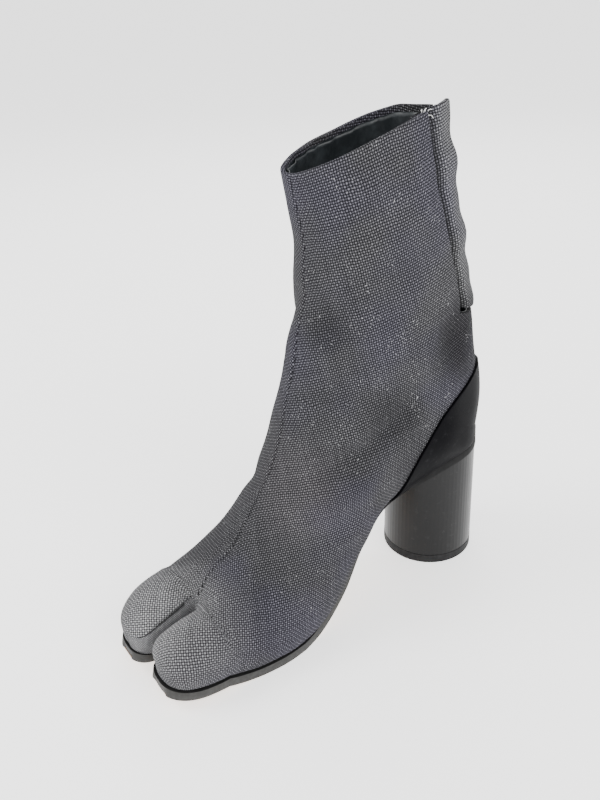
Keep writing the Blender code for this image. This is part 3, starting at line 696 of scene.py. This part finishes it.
def waist(y):
    """From 0 under the ball and the heel to 1 in the middle of the waist."""
    t = min(max((y - WAIST_FROM) / (WAIST_TO - WAIST_FROM), 0.0), 1.0)
    return math.sin(math.pi * t) ** 0.7


def make_outsole():
    """Thin leather sole with a painted edge."""
    arcs, lobes, _, _ = all_arcs(3)
    cols = 8
    grids = {}
    for side, s in SIDES.items():
        chosen = [arc for arc in arcs[side] if abs(arc["foot"] - arc["inner"]) > 0.5]
        foot = np.array([section_point(arc, 0.0) for arc in chosen])
        kept = spaced(range(len(chosen)), np.array([[arc["back"][0], 0.0] for arc in chosen]), 0.9,
                      (*range(lobes + 1), len(chosen) - 1))
        chosen = [chosen[i] for i in kept]
        outer = foot[kept]
        inner = np.array([section_point(arc, 1.0) if i < lobes else (arc["inner"], *arc["back"])
                          for i, arc in enumerate(chosen)])
        contour = np.concatenate([inner[lobes - 1::-1], outer])[:, :2]
        along = np.gradient(contour, axis=0)
        normal = unit(np.stack([s * along[:, 1], -s * along[:, 0]], axis=1))
        for _ in range(3):
            padded = np.concatenate([normal[:1], normal, normal[-1:]])
            normal = unit(padded[:-2] + 2 * padded[1:-1] + padded[2:])
        out = np.array([SOLE_PROUD - WAIST_TUCK * waist(y) for y in outer[:, 1]])
        front = 0.5 if s < 0 else 0.9
        ahead = 1 - smooth_step(20.0, 48.0, outer[:, 1])
        out = (np.minimum(out, 1.0) * (1 - ahead) + front * ahead)[:, None]
        line_y = [arc["back"][0] for arc in chosen]
        line_z = [arc["back"][1] for arc in chosen]
        tip = outer[0, 1]
        into = ((front + 0.5) * (1 - smooth_step(0.0, 12.0, inner[:lobes, 1] - tip)) - 0.5)[:, None]
        inner[:lobes, :2] += normal[lobes - 1::-1] * into
        outer[:, :2] += normal[lobes:] * out
        inner[lobes:, 1] = outer[lobes:, 1]
        for line in (outer, inner):
            line[:, 2] = np.interp(line[:, 1], line_y, line_z) - 0.15
        grid = [[edge + (middle - edge) * k / cols for k in range(cols + 1)]
                for edge, middle in zip(outer, inner)]
        reach = HEEL_SEAT_R + SOLE_PROUD
        grid[-1] = [(x, HEEL_SEAT_Y + math.sqrt(max(reach ** 2 - (x - HEEL_X) ** 2, 0.0)), z)
                    for x, _, z in grid[-1]]
        grids[side] = np.array(grid)
    places, faces, _ = split_mesh(len(grids["medial"]), cols, lobes)
    obj = make_object("outsole_leather", [grids[side][i, k] for side, i, k in places], faces)
    thicken(obj, SOLE + 0.3, rim=1, inner=2)
    round_rims(obj, (1,), 0.55)
    obj.data.set_sharp_from_angle(angle=math.radians(50))
    for face in obj.data.polygons:
        if face.material_index == 1 and face.center.y > (SEAT_EDGE_FROM - ORIGIN_Y) * MM:
            face.material_index = 3
    return obj


def copy_of(node, name):
    """A piece made from a CAD node's own mesh, with its doubled corners merged."""
    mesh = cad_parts[node].data.copy()
    obj = bpy.data.objects.new(name, mesh)
    bpy.context.scene.collection.objects.link(obj)
    mesh.materials.clear()
    only(obj)
    bpy.ops.object.mode_set(mode="EDIT")
    bpy.ops.mesh.select_all(action="SELECT")
    bpy.ops.mesh.remove_doubles(threshold=0.00001)
    bpy.ops.mesh.tris_convert_to_quads()
    bpy.ops.object.mode_set(mode="OBJECT")
    return obj


# Loose thread ends: three points of each, counted from the corner where collar and placket meet
FRAYS = (
    ((0.0, 0.0, 0.0), (0.6, 1.2, 1.0), (0.2, 2.6, 0.6)),
    ((0.0, -1.2, 0.0), (-0.8, 0.2, 1.3), (-1.8, 1.4, 1.0)),
    ((0.4, -2.4, 0.0), (0.8, -2.0, 1.1), (0.2, -0.8, 1.6)),
    ((0.2, 0.6, -1.4), (1.0, 1.8, -1.6), (1.2, 2.8, -2.8)),
    ((-1.2, -0.4, 0.3), (-1.6, 1.0, 1.2), (-3.0, 1.8, 0.7)),
    ((0.3, -3.4, 0.2), (-0.4, -2.6, 1.2), (-1.4, -2.2, 0.6)),
)
FRAY_FROM = (-1.0, 0.4, -0.6)
FRAY_RADIUS = 0.16


def make_frays(cloth):
    """Loose thread ends at the corner where collar and placket meet."""
    corner = cloth.points["medial"][-1, slit_column(cloth)] + np.array(FRAY_FROM)
    curve = bpy.data.curves.new("threads", "CURVE")
    curve.dimensions = "3D"
    curve.bevel_depth = FRAY_RADIUS * MM
    curve.bevel_resolution = 2
    for way in FRAYS:
        line = curve.splines.new("BEZIER")
        line.bezier_points.add(len(way) - 1)
        for spot, offset in zip(line.bezier_points, way):
            x, y, z = corner + np.array(offset)
            spot.co = ((x - ORIGIN_X) * MM, (y - ORIGIN_Y) * MM, z * MM)
            spot.handle_left_type = spot.handle_right_type = "AUTO"
    obj = bpy.data.objects.new("frayed_threads", curve)
    bpy.context.scene.collection.objects.link(obj)
    only(obj)
    bpy.ops.object.convert(target="MESH")
    return bpy.context.object


class Value:
    """A shader socket or a number, with arithmetic."""

    def __init__(self, nodes, socket):
        self.nodes = nodes
        self.socket = socket

    def math(self, operation, *others, swap=False):
        items = [self, *others]
        if swap:
            items = items[::-1]
        return self.nodes.add("ShaderNodeMath", items, operation=operation)

    def __add__(self, other):
        return self.math("ADD", other)

    __radd__ = __add__

    def __sub__(self, other):
        return self.math("SUBTRACT", other)

    def __rsub__(self, other):
        return self.math("SUBTRACT", other, swap=True)

    def __mul__(self, other):
        return self.math("MULTIPLY", other)

    def __truediv__(self, other):
        return self.math("DIVIDE", other)

    def power(self, other):
        return self.math("POWER", other)

    def clamp(self):
        return self.math("MAXIMUM", 0.0).math("MINIMUM", 1.0)

    def between(self, low, high):
        """0 below low, 1 above high, smooth between."""
        node = self.nodes.tree.nodes.new("ShaderNodeMapRange")
        node.interpolation_type = "SMOOTHSTEP"
        node.inputs["From Min"].default_value = low
        node.inputs["From Max"].default_value = high
        self.nodes.tree.links.new(self.socket, node.inputs["Value"])
        return Value(self.nodes, node.outputs["Result"])


class Nodes:
    """One material's node tree."""

    def __init__(self, name):
        self.material = bpy.data.materials.new(name)
        self.material.use_nodes = True
        self.tree = self.material.node_tree
        self.shader = self.tree.nodes["Principled BSDF"]

    def add(self, kind, values=(), output=0, **settings):
        """Make a node, set its options and plug values into its inputs in order."""
        node = self.tree.nodes.new(kind)
        for key, setting in settings.items():
            setattr(node, key, setting)
        for socket, value in zip(node.inputs, values):
            self.plug(value, socket)
        return Value(self, node.outputs[output])

    def plug(self, value, socket):
        if isinstance(value, Value):
            self.tree.links.new(value.socket, socket)
        elif value is not None:
            socket.default_value = value

    def place(self):
        return self.add("ShaderNodeTexCoord", output="Object")

    def uv(self, name="flat"):
        node = self.tree.nodes.new("ShaderNodeUVMap")
        node.uv_map = name
        return Value(self, node.outputs["UV"])

    def split(self, vector):
        node = self.tree.nodes.new("ShaderNodeSeparateXYZ")
        self.plug(vector, node.inputs[0])
        return [Value(self, node.outputs[k]) for k in range(3)]

    def join(self, x, y, z=0.0):
        return self.add("ShaderNodeCombineXYZ", (x, y, z))

    def noise(self, vector, scale, detail=2.0, rough=0.5):
        node = self.tree.nodes.new("ShaderNodeTexNoise")
        self.plug(vector, node.inputs["Vector"])
        node.inputs["Scale"].default_value = scale
        node.inputs["Detail"].default_value = detail
        node.inputs["Roughness"].default_value = rough
        return Value(self, node.outputs["Fac"])

    def mix(self, share, a, b):
        """Colour a where share is 0, b where it is 1."""
        node = self.tree.nodes.new("ShaderNodeMix")
        node.data_type = "RGBA"
        node.clamp_factor = True
        for socket, value in ((node.inputs[0], share), (node.inputs[6], a), (node.inputs[7], b)):
            if isinstance(value, tuple):
                value = (*value, 1.0)
            self.plug(value, socket)
        return Value(self, node.outputs[2])

    def bump(self, height, distance, strength=1.0):
        node = self.tree.nodes.new("ShaderNodeBump")
        node.inputs["Strength"].default_value = strength
        node.inputs["Distance"].default_value = distance
        self.plug(height, node.inputs["Height"])
        self.tree.links.new(node.outputs["Normal"], self.shader.inputs["Normal"])

    def patches(self, place, table):
        """Sum of soft round patches, each given by x, y, z, radius and its weight in the middle."""
        px, py, pz = place
        total = 0.0
        for x, y, z, radius, weight in table:
            dx = px - (x - ORIGIN_X) * MM
            dy = py - (y - ORIGIN_Y) * MM
            dz = pz - z * MM
            distance = (dx * dx + dy * dy + dz * dz).math("SQRT")
            total = total + (1.0 - distance.between(radius * 0.25 * MM, radius * MM)) * weight
        return total

    def set(self, **values):
        for name, value in values.items():
            socket = self.shader.inputs[name.replace("_", " ")]
            if isinstance(value, tuple):
                value = (*value, 1.0)
            self.plug(value, socket)


WARP = 1.08                 # from one lengthwise thread to the next
WEFT = 1.22                 # from one crosswise thread to the next
# Soft patches of the canvas: x, y, z, radius, weight
# painted light: the toe lobes made paler where the light falls on them
TOE_PAINTED_LIGHT = ((-14.0, 10.0, 34.0, 48.0, 1.5), (18.0, 18.0, 38.0, 46.0, 0.8))     # paler, at the toes
WARM = ((20.0, 88.0, 88.0, 36.0, 0.3),)                                     # browner, on the vamp
# painted shade: darker towards near black in the medial ankle hollow, the instep and vamp hollows, low on the
# medial side by the counter, in the split's crotch and on the front of the shaft
PAINTED_SHADE = ((37.0, 186.0, 148.0, 34.0, 0.6), (34.0, 140.0, 118.0, 26.0, 0.3), (36.0, 112.0, 92.0, 26.0, 0.2),
       (33.0, 164.0, 82.0, 30.0, 0.3), (-8.0, 33.0, 39.0, 10.0, 0.6), (18.0, 112.0, 168.0, 16.0, 0.3))
BLACK = (0.004, 0.004, 0.004)


def canvas_material(name, dark, pale, warp=WARP, weft=WEFT):
    """Faded basket weave: pale raised crossings over dark yarns, with worn and tinted places, painted shade
    in hollows and creases, painted light on the toes, dark seam lines in the split and a painted shadow in
    the placket gap.
    """
    m = Nodes(name)
    place = m.place()
    u, v, _ = m.split(m.uv())
    wobble = m.noise(place, 260.0, 1.0) - 0.5
    drift = m.noise(place, 55.0, 1.0) - 0.5
    x = u / (warp * MM) + wobble * 0.5 + drift * 1.6
    y = v / (weft * MM) + wobble * 0.5 - drift * 1.6
    wave = (x * math.pi).math("COSINE") * (y * math.pi).math("COSINE")
    over = wave.clamp().power(1.1)
    under = (0.0 - wave).clamp().power(1.2) * 0.5
    yarn = over + under
    warp_tone = m.noise(m.join(u * 1.0, v * 0.05), 520.0, 1.0)
    weft_tone = m.noise(m.join(u * 0.05, v * 1.0), 460.0, 1.0)
    lint = m.noise(place, 900.0, 2.0, 0.7)
    worn = m.noise(place, 34.0, 3.0, 0.6)
    broad = m.noise(place, 15.0, 2.0)
    tone = yarn * (0.55 + warp_tone * 0.5 + weft_tone * 0.4) * (0.62 + lint * 0.75) * (0.75 + worn * 0.5)
    spots = m.split(place)
    toe_light = m.patches(spots, TOE_PAINTED_LIGHT)
    violet = broad.between(0.45, 0.62) * 0.8 * (1.0 - toe_light).clamp()
    dark_tint = m.mix(violet, dark, (dark[0] * 0.98, dark[1] * 0.92, dark[2] * 1.32))
    pale_tint = m.mix(violet, pale, (pale[0] * 0.98, pale[1] * 0.96, pale[2] * 1.12))
    cloth = m.mix((tone * 0.92).clamp(), dark_tint, pale_tint)
    warm = m.patches(spots, WARM)
    cloth = m.mix(warm * tone.clamp(), cloth, (pale[0] * 1.1, pale[1] * 0.98, pale[2] * 0.98))
    # painted shade: the canvas darkened towards near black in the patches listed above
    cloth = m.mix(m.patches(spots, PAINTED_SHADE).clamp(), cloth, (0.004, 0.004, 0.005))
    # painted light: the canvas mixed towards pale grey on the toe lobes
    cloth = m.mix((tone * toe_light * 0.55).clamp(), cloth, (0.52, 0.52, 0.53))
    speck = m.noise(place, 1500.0, 0.0).between(0.79, 0.81) * m.noise(place, 90.0, 0.0).between(0.55, 0.62)
    cloth = m.mix(speck * 0.65, cloth, (0.62, 0.62, 0.63))
    beside, seam, _ = m.split(m.uv("line"))
    # dark seam line where the split's lining meets the canvas, and painted shadow in the placket gap where
    # the strip runs in under the medial panel's edge
    cloth = m.mix((1.0 - beside.between(0.05, 0.22)) * 0.7, cloth, BLACK)
    cloth = m.mix((1.0 - seam.between(0.02, 0.08)) * 0.28, cloth, (0.006, 0.006, 0.006))
    m.set(Base_Color=cloth, Roughness=0.93, Specular_IOR_Level=0.04)
    m.bump(yarn * 0.85 + lint * 0.15, 0.0006, 0.9)
    return m.material


def leather_material(name, color, rough, coat=0.0, grain=0.00006, gloss=0.5):
    """Smooth leather with a fine grain, faint scuffs and dust."""
    m = Nodes(name)
    place = m.place()
    fine = m.noise(place, 1300.0, 3.0, 0.6)
    cloud = m.noise(place, 48.0, 3.0, 0.6)
    scuff = m.noise(place, 240.0, 4.0, 0.75).between(0.56, 0.74) * cloud
    tone = m.mix(scuff * 0.5, color, tuple(min(c * 3.2 + 0.02, 1.0) for c in color))
    m.set(Base_Color=tone, Roughness=cloud * 0.16 + (rough - 0.08), Coat_Weight=coat, Coat_Roughness=0.2,
          Specular_IOR_Level=gloss)
    m.bump(fine + cloud * 0.5, grain, 0.6)
    return m.material


def plain_material(name, color, rough, mottle=0.0, scale=200.0, depth=0.00005, gloss=0.5):
    """A surface with soft mottling and slight unevenness."""
    m = Nodes(name)
    place = m.place()
    spots = m.noise(place, scale, 4.0, 0.65)
    tone = m.mix(spots.between(0.35, 0.7) * mottle, color, tuple(min(c * 2.2 + 0.015, 1.0) for c in color))
    m.set(Base_Color=tone, Roughness=rough, Specular_IOR_Level=gloss)
    m.bump(spots, depth, 0.5)
    return m.material


def cloth_slots(obj, materials):
    """Put materials in the mesh's slots in order; the faces keep theirs."""
    kept = [face.material_index for face in obj.data.polygons]
    obj.data.materials.clear()
    for material in materials:
        obj.data.materials.append(material)
    obj.data.polygons.foreach_set("material_index", kept)


def light(name, size, power, place, aim):
    """A soft rectangular studio light."""
    data = bpy.data.lights.new(name, "AREA")
    data.shape = "RECTANGLE"
    data.size, data.size_y = size
    data.energy = power
    obj = bpy.data.objects.new(name, data)
    obj.location = place
    obj.rotation_euler = (Vector(aim) - Vector(place)).to_track_quat("-Z", "Y").to_euler()
    bpy.context.scene.collection.objects.link(obj)
    return obj


# The photo's camera, fitted to the boot's outline
PHOTO_HEIGHT = 800.0        # px
PHOTO_FOCAL = 799.0         # px
FILM = 36.0
CAMERA_AT = (291.5, -88.0, 319.0)
CAMERA_AHEAD = (-0.6736, 0.5593, -0.4833)
CAMERA_TURN = 5.3           # degrees to the right, so that the one boot stands in the middle


def set_camera():
    """A camera at the photo's angle."""
    data = bpy.data.cameras.new("camera")
    data.sensor_fit = "VERTICAL"
    data.sensor_height = FILM
    data.lens = FILM * PHOTO_FOCAL / PHOTO_HEIGHT
    data.clip_start = 0.01
    camera = bpy.data.objects.new("camera", data)
    x, y, z = CAMERA_AT
    camera.location = ((x - ORIGIN_X) * MM, (y - ORIGIN_Y) * MM, z * MM)
    ahead = Vector(CAMERA_AHEAD).normalized()
    right = ahead.cross(Vector((0.0, 0.0, 1.0))).normalized()
    above = right.cross(ahead)
    turned = math.radians(CAMERA_TURN)
    aside = right * math.cos(turned) + ahead * math.sin(turned)
    ahead = ahead * math.cos(turned) - right * math.sin(turned)
    camera.rotation_euler = Matrix((aside, above, -ahead)).transposed().to_euler()
    bpy.context.scene.collection.objects.link(camera)
    bpy.context.scene.camera = camera


def main():
    bpy.ops.object.select_all(action="DESELECT")
    cloth = Cloth()
    canvas = canvas_material("canvas", (0.003, 0.003, 0.004), (0.205, 0.203, 0.214))
    strip_canvas = canvas_material("canvas_strip", (0.005, 0.005, 0.006), (0.34, 0.34, 0.35))
    gusset = canvas_material("split_lining", (0.03, 0.03, 0.033), (0.26, 0.26, 0.268), warp=0.6, weft=0.65)
    lining_cloth = plain_material("lining_cloth", (0.016, 0.0195, 0.022), 0.45, mottle=0.7, scale=110.0)
    # black leather made darker still: partly its own black, partly painted shade on the counter
    counter_leather = leather_material("counter_leather", (0.0028, 0.0028, 0.0035), 0.5, gloss=0.015)
    edge_paint = plain_material("sole_edge", (0.03, 0.0295, 0.028), 0.62, mottle=0.3, scale=420.0,
                                depth=0.00012, gloss=0.25)
    # black seat edge: partly black paint, partly painted shade between counter and heel
    seat_edge = plain_material("seat_edge", (0.006, 0.006, 0.0062), 0.6, mottle=0.2, gloss=0.06)
    underside = plain_material("sole_underside", (0.34, 0.23, 0.14), 0.6, mottle=0.3, scale=90.0)
    # painted shade: the sole's top, showing as a line between upper and sole, made near black for the shade
    # in that groove
    sole_top_painted_shade = plain_material("sole_top", (0.012, 0.012, 0.012), 0.8, mottle=0.2, gloss=0.05)
    board = plain_material("insole_cloth", (0.035, 0.042, 0.047), 0.8, mottle=0.3)
    lacquer = leather_material("heel_lacquer", (0.005, 0.005, 0.0053), 0.34, coat=0.1,
                               grain=0.00002, gloss=0.16)
    rubber = plain_material("lift_rubber", (0.009, 0.009, 0.0095), 0.6, gloss=0.15, mottle=0.3, scale=300.0)
    thread = plain_material("thread_ends", (0.6, 0.6, 0.6), 0.9)

    upper = make_canvas(cloth)
    cloth_slots(upper, [canvas, gusset, canvas, gusset] + [lining_cloth] * 4)
    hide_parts("upper")
    lining = make_lining(cloth)
    cloth_slots(lining, [lining_cloth])
    strip = make_strip(cloth)
    cloth_slots(strip, [strip_canvas, strip_canvas, lining_cloth])
    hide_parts("placket_strip")
    counter = make_counter(cloth)
    cloth_slots(counter, [counter_leather, counter_leather])
    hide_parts("heel_counter")
    outsole = make_outsole()
    cloth_slots(outsole, [sole_top_painted_shade, edge_paint, underside, seat_edge])
    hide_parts("outsole")
    insole = copy_of("insole", "insole_cover")
    cloth_slots(insole, [board])
    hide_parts("insole")
    for node, material in (("heel", lacquer), ("top_lift", rubber)):
        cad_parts[node].data.materials.clear()
        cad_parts[node].data.materials.append(material)
    frays = make_frays(cloth)
    cloth_slots(frays, [thread])
    for piece in (upper, lining, strip, counter, outsole, insole, frays):
        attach(piece, "root")

    bpy.ops.mesh.primitive_plane_add(size=40.0, location=(0.0, 0.0, 0.0))
    floor = bpy.context.object
    floor.name = "floor"
    paint = Nodes("floor_paint")
    paint.set(Base_Color=(0.9, 0.898, 0.895), Roughness=0.8, Emission_Color=(1.0, 1.0, 1.0),
              Emission_Strength=1.3)
    paint.bump(paint.noise(paint.place(), 40.0, 1.0), 0.00001, 0.2)
    floor.data.materials.append(paint.material)

    world = bpy.data.worlds.new("studio")
    world.use_nodes = True
    sky = world.node_tree.nodes["Background"].inputs
    sky["Color"].default_value = (1.0, 1.0, 1.0, 1.0)
    sky["Strength"].default_value = 1.1
    bpy.context.scene.world = world
    light("key", (0.7, 0.7), 14.0, (-0.55, -0.85, 1.15), (0.0, 0.0, 0.1))
    light("fill", (0.9, 0.9), 13.0, (1.15, 0.15, 0.85), (0.0, 0.0, 0.12))
    light("rim", (0.8, 0.8), 6.0, (-0.75, 0.7, 0.9), (0.0, 0.0, 0.12))

    set_camera()
    bpy.context.view_layer.update()


main()
